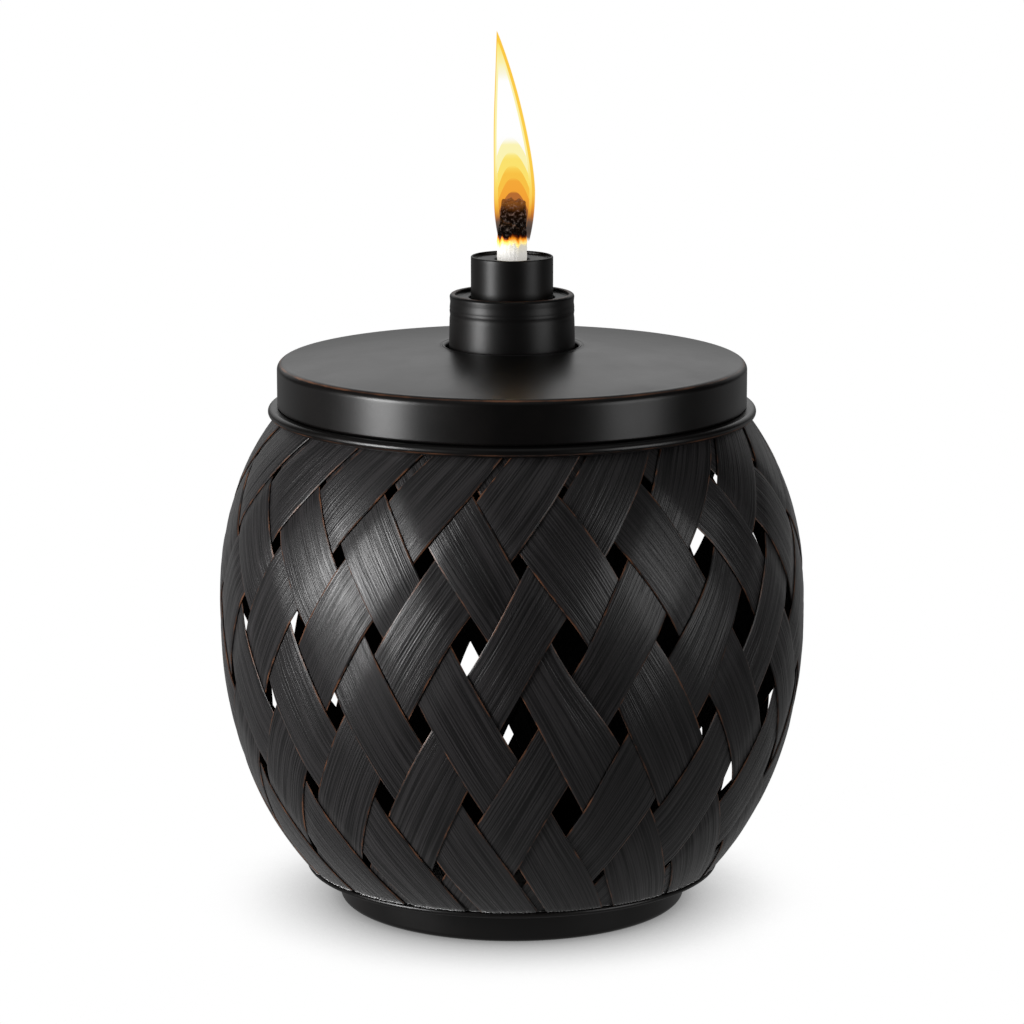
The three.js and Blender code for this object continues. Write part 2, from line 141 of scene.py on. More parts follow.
def lacqueredBamboo():
    material, tree = newMaterial("lacqueredBamboo")
    grain = addNode(tree, "ShaderNodeUVMap", uv_map="grain").outputs["UV"]  # millimetres across and along the splint
    stretched = addNode(tree, "ShaderNodeMapping", {"Vector": grain, "Scale": (1.0, bamboo["stretch"], 1.0)})
    fibre = addNode(tree, "ShaderNodeTexNoise", {"Vector": stretched.outputs[0], "Scale": 1 / bamboo["fibreMm"],
                                                 "Detail": 2.0, "Roughness": 0.5}, noise_dimensions="2D")
    bundle = addNode(tree, "ShaderNodeTexNoise", {"Vector": stretched.outputs[0], "Scale": 1 / bamboo["bundleMm"],
                                                  "Detail": 3.0, "Roughness": 0.5}, noise_dimensions="2D")
    height = addNode(tree, "ShaderNodeMath", {0: bundle.outputs["Fac"], 1: 0.45, 2: fibre.outputs["Fac"]},
                     operation="MULTIPLY_ADD")
    tone = addNode(tree, "ShaderNodeMapRange", {"Value": height.outputs[0], "From Min": 0.52, "From Max": 0.93})
    toneRamp = addNode(tree, "ShaderNodeValToRGB", {"Fac": tone.outputs[0]})
    toneColour = setRamp(toneRamp, [(0.2, bamboo["dark"]), (0.85, bamboo["light"])])
    wear = addNode(tree, "ShaderNodeAttribute", attribute_name="wear")
    broken = addNode(tree, "ShaderNodeTexNoise", {"Vector": grain, "Scale": 1 / bamboo["breakMm"], "Detail": 4.0},
                     noise_dimensions="2D")
    rubbed = addNode(tree, "ShaderNodeMath", {0: wear.outputs["Fac"], 1: broken.outputs["Fac"]}, operation="MULTIPLY")
    rubbedShare = addNode(tree, "ShaderNodeMapRange", {"Value": rubbed.outputs[0], "From Min": 0.32, "From Max": 0.55})
    edgeTone = addNode(tree, "ShaderNodeValToRGB", {"Fac": broken.outputs["Fac"]})
    edgeColour = setRamp(edgeTone, [(0.35, bamboo["darkEdge"]), (0.62, bamboo["edge"])])
    colour = addNode(tree, "ShaderNodeMix", {0: rubbedShare.outputs[0], 6: toneColour, 7: edgeColour},
                     data_type="RGBA")
    rough = addNode(tree, "ShaderNodeMapRange", {"Value": tone.outputs[0], "To Min": bamboo["roughness"][1],
                                                 "To Max": bamboo["roughness"][0]})
    bump = addNode(tree, "ShaderNodeBump", {"Height": height.outputs[0], "Distance": bamboo["fibreDepthMm"] / 1000,
                                            "Strength": 1.0})
    shader = addNode(tree, "ShaderNodeBsdfPrincipled", {
        "Base Color": colour.outputs[2], "Roughness": rough.outputs[0], "Normal": bump.outputs[0],
        "Metallic": 0.0, "IOR": 1.48, "Sheen Weight": 1.0, "Sheen Roughness": 0.3})
    addNode(tree, "ShaderNodeOutputMaterial", {"Surface": shader.outputs[0]})
    return material


# The splint's inner side has no lacquer and is dull; its near-black colour is painted shade, so the gaps look deep.
pithFinish = {"dark": "#060606", "light": "#12100f", "roughness": 0.8, "shine": 0.2}


def pithPaintedShade():
    material, tree = newMaterial("bambooPithPaintedShade")
    grain = addNode(tree, "ShaderNodeUVMap", uv_map="grain").outputs["UV"]
    stretched = addNode(tree, "ShaderNodeMapping", {"Vector": grain, "Scale": (1.0, bamboo["stretch"], 1.0)})
    fibre = addNode(tree, "ShaderNodeTexNoise", {"Vector": stretched.outputs[0], "Scale": 1 / bamboo["fibreMm"],
                                                 "Detail": 3.0}, noise_dimensions="2D")
    tone = addNode(tree, "ShaderNodeValToRGB", {"Fac": fibre.outputs["Fac"]})
    toneColour = setRamp(tone, [(0.35, pithFinish["dark"]), (0.7, pithFinish["light"])])
    bump = addNode(tree, "ShaderNodeBump", {"Height": fibre.outputs["Fac"], "Distance": bamboo["fibreDepthMm"] / 1000})
    shader = addNode(tree, "ShaderNodeBsdfPrincipled", {
        "Base Color": toneColour, "Roughness": pithFinish["roughness"], "Normal": bump.outputs[0],
        "Specular IOR Level": pithFinish["shine"]})
    addNode(tree, "ShaderNodeOutputMaterial", {"Surface": shader.outputs[0]})
    return material


# Drawn steel sheet, dull and dark, with faint drawing marks down its side; its near-black tone is painted shade, so
# the gaps in the weave show black. Real marks are too fine to show, so these are coarser.
tankFinish = {"dark": "#0c0c0c", "light": "#1f1f20", "markMm": 0.8, "markStretch": 0.06, "markDepthMm": 0.02,
              "roughness": (0.38, 0.55)}


def steelInPaintedShade():
    material, tree = newMaterial("drawnSteelPaintedShade")
    place = addNode(tree, "ShaderNodeTexCoord").outputs["Object"]
    stretched = addNode(tree, "ShaderNodeMapping", {"Vector": place, "Scale": (1.0, 1.0, tankFinish["markStretch"])})
    marks = addNode(tree, "ShaderNodeTexNoise", {"Vector": stretched.outputs[0], "Scale": 1000 / tankFinish["markMm"],
                                                 "Detail": 4.0})
    tone = addNode(tree, "ShaderNodeValToRGB", {"Fac": marks.outputs["Fac"]})
    toneColour = setRamp(tone, [(0.35, tankFinish["dark"]), (0.7, tankFinish["light"])])
    rough = addNode(tree, "ShaderNodeMapRange", {"Value": marks.outputs["Fac"], "To Min": tankFinish["roughness"][0],
                                                 "To Max": tankFinish["roughness"][1]})
    bump = addNode(tree, "ShaderNodeBump", {"Height": marks.outputs["Fac"],
                                            "Distance": tankFinish["markDepthMm"] / 1000})
    shader = addNode(tree, "ShaderNodeBsdfPrincipled", {
        "Base Color": toneColour, "Roughness": rough.outputs[0], "Normal": bump.outputs[0], "Metallic": 0.8})
    addNode(tree, "ShaderNodeOutputMaterial", {"Surface": shader.outputs[0]})
    return material


# Moulded nitrile rubber: matte and black with a dusty bloom.
rubber = {"black": "#0d0d0d", "bloom": "#242423", "bloomMm": 2.5, "bloomDepthMm": 0.03, "roughness": 0.8}


def nitrileRubber():
    material, tree = newMaterial("mouldedNitrile")
    place = addNode(tree, "ShaderNodeTexCoord").outputs["Object"]
    bloom = addNode(tree, "ShaderNodeTexNoise", {"Vector": place, "Scale": 1000 / rubber["bloomMm"], "Detail": 5.0})
    tone = addNode(tree, "ShaderNodeValToRGB", {"Fac": bloom.outputs["Fac"]})
    toneColour = setRamp(tone, [(0.35, rubber["black"]), (0.75, rubber["bloom"])])
    bump = addNode(tree, "ShaderNodeBump", {"Height": bloom.outputs["Fac"],
                                            "Distance": rubber["bloomDepthMm"] / 1000})
    shader = addNode(tree, "ShaderNodeBsdfPrincipled", {
        "Base Color": toneColour, "Roughness": rubber["roughness"], "Normal": bump.outputs[0]})
    addNode(tree, "ShaderNodeOutputMaterial", {"Surface": shader.outputs[0]})
    return material


# Braided glass-fibre wick: clean white below, a ragged burn line, and black crusted char with brown ash above.
# The flame's light on it is painted: the braid, the burn line's yellow and orange, the ember zone and the ash glow.
wickFinish = {
    "burn": (198.5, 208.5), "ragged": 5.2, "paintedEmberTop": (211.5, 216.5),  # heights in millimetres
    "tongueMm": 1.613, "crustMm": 1.111, "crustDepthMm": 0.3,
    "ash": "#877c76", "paintedLitAsh": "#544e4b", "paintedEmber": "#b56b32", "paintedEmberShare": 0.7, "paintedGlow": 0.9,
    # the yellow and orange at the burn line in these colours are painted flame light on the braid
    "colours": [(0.0, "#efeeec"), (0.22, "#f3f1ea"), (0.28, "#fff0a0"), (0.38, "#ffc74a"), (0.46, "#e07a16"),
                (0.52, "#3a2216"), (0.62, "#100e0d"), (1.0, "#171413")],
    # painted flame light: the colour the wick glows with at each burn level, white on the braid, yellow and orange at
    # the burn line
    "light": [(0.0, "#b5b2ac"), (0.22, "#b8b2a0"), (0.3, "#ffe58a"), (0.42, "#ff9a1f"), (0.5, "#5c1d04"),
              (0.56, "#000000")],
}


def charredWick():
    material, tree = newMaterial("charredGlassFibre")
    place = addNode(tree, "ShaderNodeTexCoord").outputs["Object"]
    parts = addNode(tree, "ShaderNodeSeparateXYZ", {0: place})
    upright = addNode(tree, "ShaderNodeMapping", {"Vector": place, "Scale": (1.0, 1.0, 0.28)})
    tongues = addNode(tree, "ShaderNodeTexNoise", {"Vector": upright.outputs[0],
                                                   "Scale": 1000 / wickFinish["tongueMm"], "Detail": 3.0,
                                                   "Roughness": 0.62})
    lift = addNode(tree, "ShaderNodeMath", {0: tongues.outputs["Fac"], 1: -wickFinish["ragged"] / 1000,
                                            2: parts.outputs[2]}, operation="MULTIPLY_ADD")
    level = addNode(tree, "ShaderNodeMapRange", {"Value": lift.outputs[0], "From Min": wickFinish["burn"][0] / 1000,
                                                 "From Max": wickFinish["burn"][1] / 1000})
    tone = addNode(tree, "ShaderNodeValToRGB", {"Fac": level.outputs[0]})
    toneColour = setRamp(tone, wickFinish["colours"])
    crust = addNode(tree, "ShaderNodeTexNoise", {"Vector": place, "Scale": 1000 / wickFinish["crustMm"], "Detail": 6.0,
                                                 "Roughness": 0.7})
    ash = addNode(tree, "ShaderNodeMapRange", {"Value": crust.outputs["Fac"], "From Min": 0.52, "From Max": 0.64})
    charred = addNode(tree, "ShaderNodeMapRange", {"Value": level.outputs[0], "From Min": 0.55, "From Max": 0.7})
    ashShare = addNode(tree, "ShaderNodeMath", {0: ash.outputs[0], 1: charred.outputs[0]}, operation="MULTIPLY")
    colour = addNode(tree, "ShaderNodeMix", {0: ashShare.outputs[0], 6: toneColour, 7: hexLinear(wickFinish["ash"])},
                     data_type="RGBA")
    # painted flame light: braid, burn line, ember zone and ash glow as if lit by the flame, though the wick is no lamp
    paintedGlow = addNode(tree, "ShaderNodeValToRGB", {"Fac": level.outputs[0]})
    paintedGlowColour = setRamp(paintedGlow, wickFinish["light"])
    paintedEmber = addNode(tree, "ShaderNodeMapRange", {"Value": lift.outputs[0],
                                                 "From Min": wickFinish["paintedEmberTop"][0] / 1000,
                                                 "From Max": wickFinish["paintedEmberTop"][1] / 1000,
                                                 "To Max": wickFinish["paintedEmberShare"]})
    paintedGlowing = addNode(tree, "ShaderNodeMix", {0: paintedEmber.outputs[0], 6: paintedGlowColour, 7: hexLinear(wickFinish["paintedEmber"])},
                      data_type="RGBA")
    paintedFlameLight = addNode(tree, "ShaderNodeMix", {0: ashShare.outputs[0], 6: paintedGlowing.outputs[2],
                                          7: hexLinear(wickFinish["paintedLitAsh"])}, data_type="RGBA")
    bump = addNode(tree, "ShaderNodeBump", {"Height": crust.outputs["Fac"],
                                            "Distance": wickFinish["crustDepthMm"] / 1000})
    shader = addNode(tree, "ShaderNodeBsdfPrincipled", {
        "Base Color": colour.outputs[2], "Roughness": 0.75, "Normal": bump.outputs[0],
        "Emission Color": paintedFlameLight.outputs[2], "Emission Strength": wickFinish["paintedGlow"]})
    addNode(tree, "ShaderNodeOutputMaterial", {"Surface": shader.outputs[0]})
    return material


# Burning gas: only the far wall of each shell glows, so from every side the zones show one inside the next.
def flameGas(name, stops):
    material, tree = newMaterial(name)
    rise = addNode(tree, "ShaderNodeAttribute", attribute_name="rise").outputs["Fac"]
    tone = addNode(tree, "ShaderNodeValToRGB", {"Fac": rise})
    toneColour = setRamp(tone, stops)
    dense = addNode(tree, "ShaderNodeAttribute", attribute_name="dense").outputs["Fac"]
    farWall = addNode(tree, "ShaderNodeNewGeometry").outputs["Backfacing"]
    facing = addNode(tree, "ShaderNodeLayerWeight", {"Blend": 0.5}).outputs["Facing"]
    inside = addNode(tree, "ShaderNodeMapRange", {"Value": facing, "From Min": 0.8, "From Max": 0.99,
                                                  "To Min": 1.0, "To Max": 0.0}, interpolation_type="SMOOTHSTEP")
    wall = addNode(tree, "ShaderNodeMath", {0: dense, 1: farWall}, operation="MULTIPLY")
    shown = addNode(tree, "ShaderNodeMath", {0: wall.outputs[0], 1: inside.outputs[0]}, operation="MULTIPLY")
    light = addNode(tree, "ShaderNodeEmission", {"Color": toneColour, "Strength": 1.0})
    through = addNode(tree, "ShaderNodeBsdfTransparent")
    mixed = addNode(tree, "ShaderNodeMixShader", {0: shown.outputs[0], 1: through.outputs[0], 2: light.outputs[0]})
    addNode(tree, "ShaderNodeOutputMaterial", {"Surface": mixed.outputs[0]})
    return material


def finishPiece(name, mesh, node, material):  # the piece rides as its CAD node does, and stands for it
    piece = bpy.data.objects.new(name, mesh)
    scene.collection.objects.link(piece)
    mesh.materials.append(material)
    mesh.shade_smooth()
    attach(piece, bodyOfNode[node])
    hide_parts(node)
    return piece


def arcPoints(r, z, radius, start, end, steps, wear=0.0):  # round the point r, z, from one angle to another
    angles = [math.radians(start + (end - start) * i / steps) for i in range(steps + 1)]
    return [(r + radius * math.cos(a), z + radius * math.sin(a), wear) for a in angles]


def spinPiece(name, outline, node, material, segments=192, reshape=None, sharpAngle=40):
    # turns an outline of radius, height and wear about the upright axis; a point may leave out its wear
    bm = bmesh.new()
    wearLayer = bm.verts.layers.float.new("wear")
    rings = []
    for r, z, *wear in outline:
        ring = []
        for i in range(segments):
            turn = 2 * math.pi * i / segments
            point = Vector((r * math.sin(turn), -r * math.cos(turn), z))
            vertex = bm.verts.new((reshape(point, turn) if reshape else point) / 1000)
            vertex[wearLayer] = wear[0] if wear else 0.0
            ring.append(vertex)
        rings.append(ring)
    onAxis = outline[0][0] == 0  # a solid turned from the axis outwards is closed there already
    for i in range(len(rings) - 1 if onAxis else len(rings)):
        low, high = rings[i], rings[(i + 1) % len(rings)]
        for j in range(segments):
            k = (j + 1) % segments
            bm.faces.new((low[j], low[k], high[k], high[j]))
    bmesh.ops.remove_doubles(bm, verts=bm.verts, dist=1e-7)
    bmesh.ops.recalc_face_normals(bm, faces=bm.faces)
    mesh = bpy.data.meshes.new(name)
    bm.to_mesh(mesh)
    bm.free()
    piece = finishPiece(name, mesh, node, material)
    mesh.set_sharp_from_angle(angle=math.radians(sharpAngle))
    return piece


# the camera stands a little above the torch, and looks at the middle of its height
view = {"lookAt": (0, 0, 0.1209), "distance": 1.2273, "elevation": 11.552, "lens": 140.5}
camera = bpy.data.objects.new("camera", bpy.data.cameras.new("camera"))
camera.data.lens = view["lens"]
camera.data.sensor_width = 36
raised = math.radians(view["elevation"])
away = Vector((0, -math.cos(raised), math.sin(raised)))
camera.location = Vector(view["lookAt"]) + away * view["distance"]
camera.rotation_euler = (-away).to_track_quat("-Z", "Y").to_euler()
scene.collection.objects.link(camera)
scene.camera = camera
scene.view_settings.view_transform = "Standard"

softBoxes = [  # turn from the front (left is negative), height of the middle, distance, width and height, watts
    {"name": "keyLight", "turn": -62, "centre": 0.22, "distance": 0.8, "size": (0.26, 0.36), "watts": 5.8},
    {"name": "fillLight", "turn": 58, "centre": 0.22, "distance": 0.8, "size": (0.4, 0.46), "watts": 1.5},
]
for box in softBoxes:
    lamp = bpy.data.lights.new(box["name"], "AREA")
    lamp.shape = "RECTANGLE"
    lamp.size, lamp.size_y = box["size"]
    lamp.energy = box["watts"]
    turn = math.radians(box["turn"])
    out = Vector((math.sin(turn), -math.cos(turn), 0))
    holder = bpy.data.objects.new(box["name"], lamp)
    holder.location = Vector((0, 0, box["centre"])) + out * box["distance"]
    holder.visible_camera = False
    holder.rotation_euler = out.to_track_quat("Z", "Y").to_euler()
    scene.collection.objects.link(holder)

# a wide white wall behind, a dim room before and a soft ceiling above light the torch; the camera sees plain white
studio = {
    "behind": 1.12, "wallReach": (0.62, 0.95), "low": 0.1, "lowReach": (0.03, 0.36), "before": 0.004,
    "above": 0.2, "aboveReach": (0.5, 1.0), "seen": 1.0,
    "floorSize": 16, "floorFar": 0.015, "floorBehind": 0.2, "behindReach": (0.1, 0.5),
    "floorNear": 0.17, "nearReach": (0.09, 0.36), "paintedShadowReach": 0.1, "paintedShadowClear": 0.61,
}
world = bpy.data.worlds.new("studio")
scene.world = world
world.use_nodes = True
tree = world.node_tree
tree.nodes.clear()
direction = addNode(tree, "ShaderNodeTexCoord").outputs["Generated"]
parts = addNode(tree, "ShaderNodeSeparateXYZ", {0: direction})
backWall = addNode(tree, "ShaderNodeMapRange", {"Value": parts.outputs[1], "From Min": studio["wallReach"][0],
                                                "From Max": studio["wallReach"][1], "To Min": studio["before"],
                                                "To Max": studio["behind"]}, interpolation_type="SMOOTHSTEP")
rising = addNode(tree, "ShaderNodeMapRange", {"Value": parts.outputs[2], "From Min": studio["lowReach"][0],
                                              "From Max": studio["lowReach"][1], "To Min": studio["low"]})
backLight = addNode(tree, "ShaderNodeMath", {0: backWall.outputs[0], 1: rising.outputs[0]}, operation="MULTIPLY")
ceiling = addNode(tree, "ShaderNodeMapRange", {"Value": parts.outputs[2], "From Min": studio["aboveReach"][0],
                                               "From Max": studio["aboveReach"][1], "To Max": studio["above"]},
                  interpolation_type="SMOOTHSTEP")
brightness = addNode(tree, "ShaderNodeMath", {0: backLight.outputs[0], 1: ceiling.outputs[0]}, operation="MAXIMUM")
path = addNode(tree, "ShaderNodeLightPath").outputs["Is Camera Ray"]
soft = addNode(tree, "ShaderNodeBackground", {"Color": (1, 1, 1, 1), "Strength": brightness.outputs[0]})
plain = addNode(tree, "ShaderNodeBackground", {"Color": (1, 1, 1, 1), "Strength": studio["seen"]})
mixed = addNode(tree, "ShaderNodeMixShader", {0: path, 1: soft.outputs[0], 2: plain.outputs[0]})
addNode(tree, "ShaderNodeOutputWorld", {"Surface": mixed.outputs[0]})

# the paper shows the camera a painted soft shadow, dimmed by occlusion where the foot closes it in, and throws back
# only a dim light
half = studio["floorSize"] / 2
floorMesh = bpy.data.meshes.new("floor")
floorMesh.from_pydata([(-half, -half, 0), (half, -half, 0), (half, half, 0), (-half, half, 0)], [], [(0, 1, 2, 3)])
floor = bpy.data.objects.new("floor", floorMesh)
scene.collection.objects.link(floor)
paper, tree = newMaterial("whiteBackdropPaper")
# painted shadow: the glow the camera sees is dimmed by how closely the torch closes the paper in
paintedContactShadow = addNode(tree, "ShaderNodeAmbientOcclusion", {"Distance": studio["paintedShadowReach"]}, samples=24)
paintedShadowShare = addNode(tree, "ShaderNodeMapRange", {"Value": paintedContactShadow.outputs["AO"], "From Max": studio["paintedShadowClear"],
                                                    "To Max": studio["seen"]})
seen = addNode(tree, "ShaderNodeEmission", {"Color": (1, 1, 1, 1), "Strength": paintedShadowShare.outputs[0]})
paperPlace = addNode(tree, "ShaderNodeTexCoord").outputs["Object"]
paperDepth = addNode(tree, "ShaderNodeSeparateXYZ", {0: paperPlace}).outputs[1]
fromMiddle = addNode(tree, "ShaderNodeVectorMath", {0: paperPlace}, operation="LENGTH").outputs["Value"]
far = addNode(tree, "ShaderNodeMapRange", {"Value": paperDepth, "From Min": studio["behindReach"][0],
                                           "From Max": studio["behindReach"][1], "To Min": studio["floorFar"],
                                           "To Max": studio["floorBehind"]})
near = addNode(tree, "ShaderNodeMapRange", {"Value": fromMiddle, "From Min": studio["nearReach"][0],
                                            "From Max": studio["nearReach"][1], "To Min": studio["floorNear"],
                                            "To Max": 0.0})
bounced = addNode(tree, "ShaderNodeMath", {0: far.outputs[0], 1: near.outputs[0]}, operation="MAXIMUM")
dull = addNode(tree, "ShaderNodeEmission", {"Color": (1, 1, 1, 1), "Strength": bounced.outputs[0]})
path = addNode(tree, "ShaderNodeLightPath").outputs["Is Camera Ray"]
surface = addNode(tree, "ShaderNodeMixShader", {0: path, 1: dull.outputs[0], 2: seen.outputs[0]})
addNode(tree, "ShaderNodeOutputMaterial", {"Surface": surface.outputs[0]})
floorMesh.materials.append(paper)
print("studio ready")

weave = {  # millimetres and degrees
    "splints": 20, "width": 19.6, "thick": 0.42,
    "belly": 90.0, "bellyHeight": 93.0, "fullness": 2.25,  # the barrel's outline
    "rimMouth": (71.9, 151.7), "footMouth": (64.3, 12.3),  # radius and height
    "leanAtFoot": 25.0, "leanAtRim": 35.0, "rowHeight": 100.0,  # a row of crossings lies at rowHeight
    "spread": 6.3, "slackSide": 78.0,  # the weave is slacker round one side
    "shift": 0.55, "widthPlay": 0.05, "wander": ((0.25, 23), (0.12, 9)), "seed": 11,  # unevenness of handwork
    "endGap": 2.0, "looseReach": 19.0, "looseRadius": 85,  # how far from a loose place it is felt a third as much
    "step": 0.64, "flat": 0.8, "middleDepth": 0.7, "dome": 0.05, "crown": 0.06, "ridge": 0.025,  # over and under
    "rightOverAbove": 140.0, "leftOverBelow": 24.0, "footCut": 12.34,
    "columns": 25, "rowTurn": 1.0, "endMargin": 12, "sharpAngle": 36,
}
loosePlaces = [  # turn from the front, height and millimetres by which a hole in the weave is wider, or narrower
    (12, 95, 3.4), (40, 118, 3.2), (52, 96, 3.0), (1, 71, 2.0), (12, 44, 2.0), (59, 71, 3.6), (-9, 99, 1.8),
    (-61, 98, 1.4), (60, 124, 1.6), (18, 122, -0.8), (33, 93, -1.6), (20, 69, -1.6), (30, 46, -2.0), (-26, 50, 0.8),
    (51, 45, 1.0), (-45, 50, 0.8), (2, 28, 0.8),
    (-160, 82, 4.0), (-170, 55, 3.0), (168, 51, 3.0), (161, 83, 4.0), (137, 99, 4.2), (119, 105, 4.5), (-136, 47, 4.0),
    (123, 59, 3.0), (128, 32, 3.0), (106, 53, 5.0), (-102, 32, 3.0), (-120, 27, 3.0), (109, 28, 3.4), (-112, 79, 3.4),
]
splintLow, splintHigh = boxMm("splint_right_01")
splintFoot, splintTop = splintLow[2], splintHigh[2]


def halfSpan(mouth):  # height over which the outline would close from belly to axis, through this mouth
    radius, height = mouth
    return abs(height - weave["bellyHeight"]) / (1 - (radius / weave["belly"]) ** 2) ** (1 / weave["fullness"])


spanAbove, spanBelow = halfSpan(weave["rimMouth"]), halfSpan(weave["footMouth"])


def barrel(z):  # radius and slope of the outline at each height; straight past the mouths
    within = np.clip(z, splintFoot, splintTop)
    span = np.where(within > weave["bellyHeight"], spanAbove, spanBelow)
    share = np.abs(within - weave["bellyHeight"]) / span
    root = np.sqrt(1 - share ** weave["fullness"])
    steep = weave["fullness"] * share ** (weave["fullness"] - 1) / (2 * root)
    slope = weave["belly"] * steep / span * np.sign(weave["bellyHeight"] - within)
    return weave["belly"] * root + slope * (z - within), slope


def leanAt(z):  # angle between a splint and the upright
    share = (z - splintFoot) / (splintTop - splintFoot)
    return np.radians(weave["leanAtFoot"] + (weave["leanAtRim"] - weave["leanAtFoot"]) * share)


# a splint's course up the barrel: how far it has turned at each height
courseStep = 0.5
courseZ = np.arange(splintFoot - 30, splintTop + 30, courseStep)
courseRadius, courseSlope = barrel(courseZ - courseStep / 2)
courseGain = np.hypot(1, courseSlope) * courseStep * np.tan(leanAt(courseZ - courseStep / 2)) / courseRadius
courseTurn = np.degrees(np.cumsum(courseGain))
courseTurn -= np.interp(weave["rowHeight"], courseZ, courseTurn)
shake = np.random.default_rng(weave["seed"])
splintShift = {side: shake.uniform(-1, 1, weave["splints"]) * weave["shift"] for side in (1, -1)}
splintWidth = {side: weave["width"] * (1 + shake.uniform(-1, 0.6, weave["splints"]) * weave["widthPlay"])
               for side in (1, -1)}


def splintTurn(side, k):  # turn of a splint where it passes rowHeight; side is 1 leaning right and -1 leaning left
    even = 360 / weave["splints"] * k
    slack = (1 + math.cos(math.radians(even - weave["slackSide"]))) / 2
    return even + weave["spread"] * slack ** 3 + splintShift[side][k % weave["splints"]]


def halfTurn(side, k, z):  # half a splint's width, as a turn, kept clear of its neighbours
    here = splintTurn(side, k)
    room = min(splintTurn(side, k + 1) - here, here - splintTurn(side, k - 1)) / 2
    perMm = np.degrees(1 / (barrel(z)[0] * np.cos(leanAt(z))))
    return np.minimum(splintWidth[side][k % weave["splints"]] / 2 * perMm, room - weave["endGap"] / 2 * perMm)


def looseness(turn, z):  # how far a splint's edge stands back at a turn and a height
    total = np.zeros_like(z)
    for placeTurn, placeHeight, amount in loosePlaces:
        near = ((turn - placeTurn + 180) % 360 - 180) * np.radians(1) * weave["looseRadius"]
        total += amount / 2 * np.exp(-(near ** 2 + (z - placeHeight) ** 2) / weave["looseReach"] ** 2)
    return total


def splintLevel(side, k, at):  # how far out each crosswise row of a splint lies, and how far through its crossing
    here = splintTurn(side, k)
    places, levels, domes = [], [], np.zeros_like(at)
    for j in range(k - weave["splints"], k + weave["splints"] + 1):
        there = splintTurn(-side, j)
        z = np.interp(side * (there - here) / 2, courseTurn, courseZ)
        reach = float(halfTurn(-side, j, z))
        over = side if (j - k) % 2 == 0 else -side
        # under the rim the right-leaning splints all lie outside, at the foot the left-leaning ones
        if z > weave["rightOverAbove"]:
            over = side
        elif z < weave["leftOverBelow"]:
            over = -side
        places += [there - weave["flat"] * reach, there + weave["flat"] * reach]
        levels += [over, over]
        through = np.clip((at - there) / reach, -1, 1)
        domes += over * (1 - through ** 2) * (np.abs(through) < 1)
    rise = np.sin(np.interp(at, places, levels) * math.pi / 2)
    return rise * weave["step"] / 2 + domes * weave["dome"]


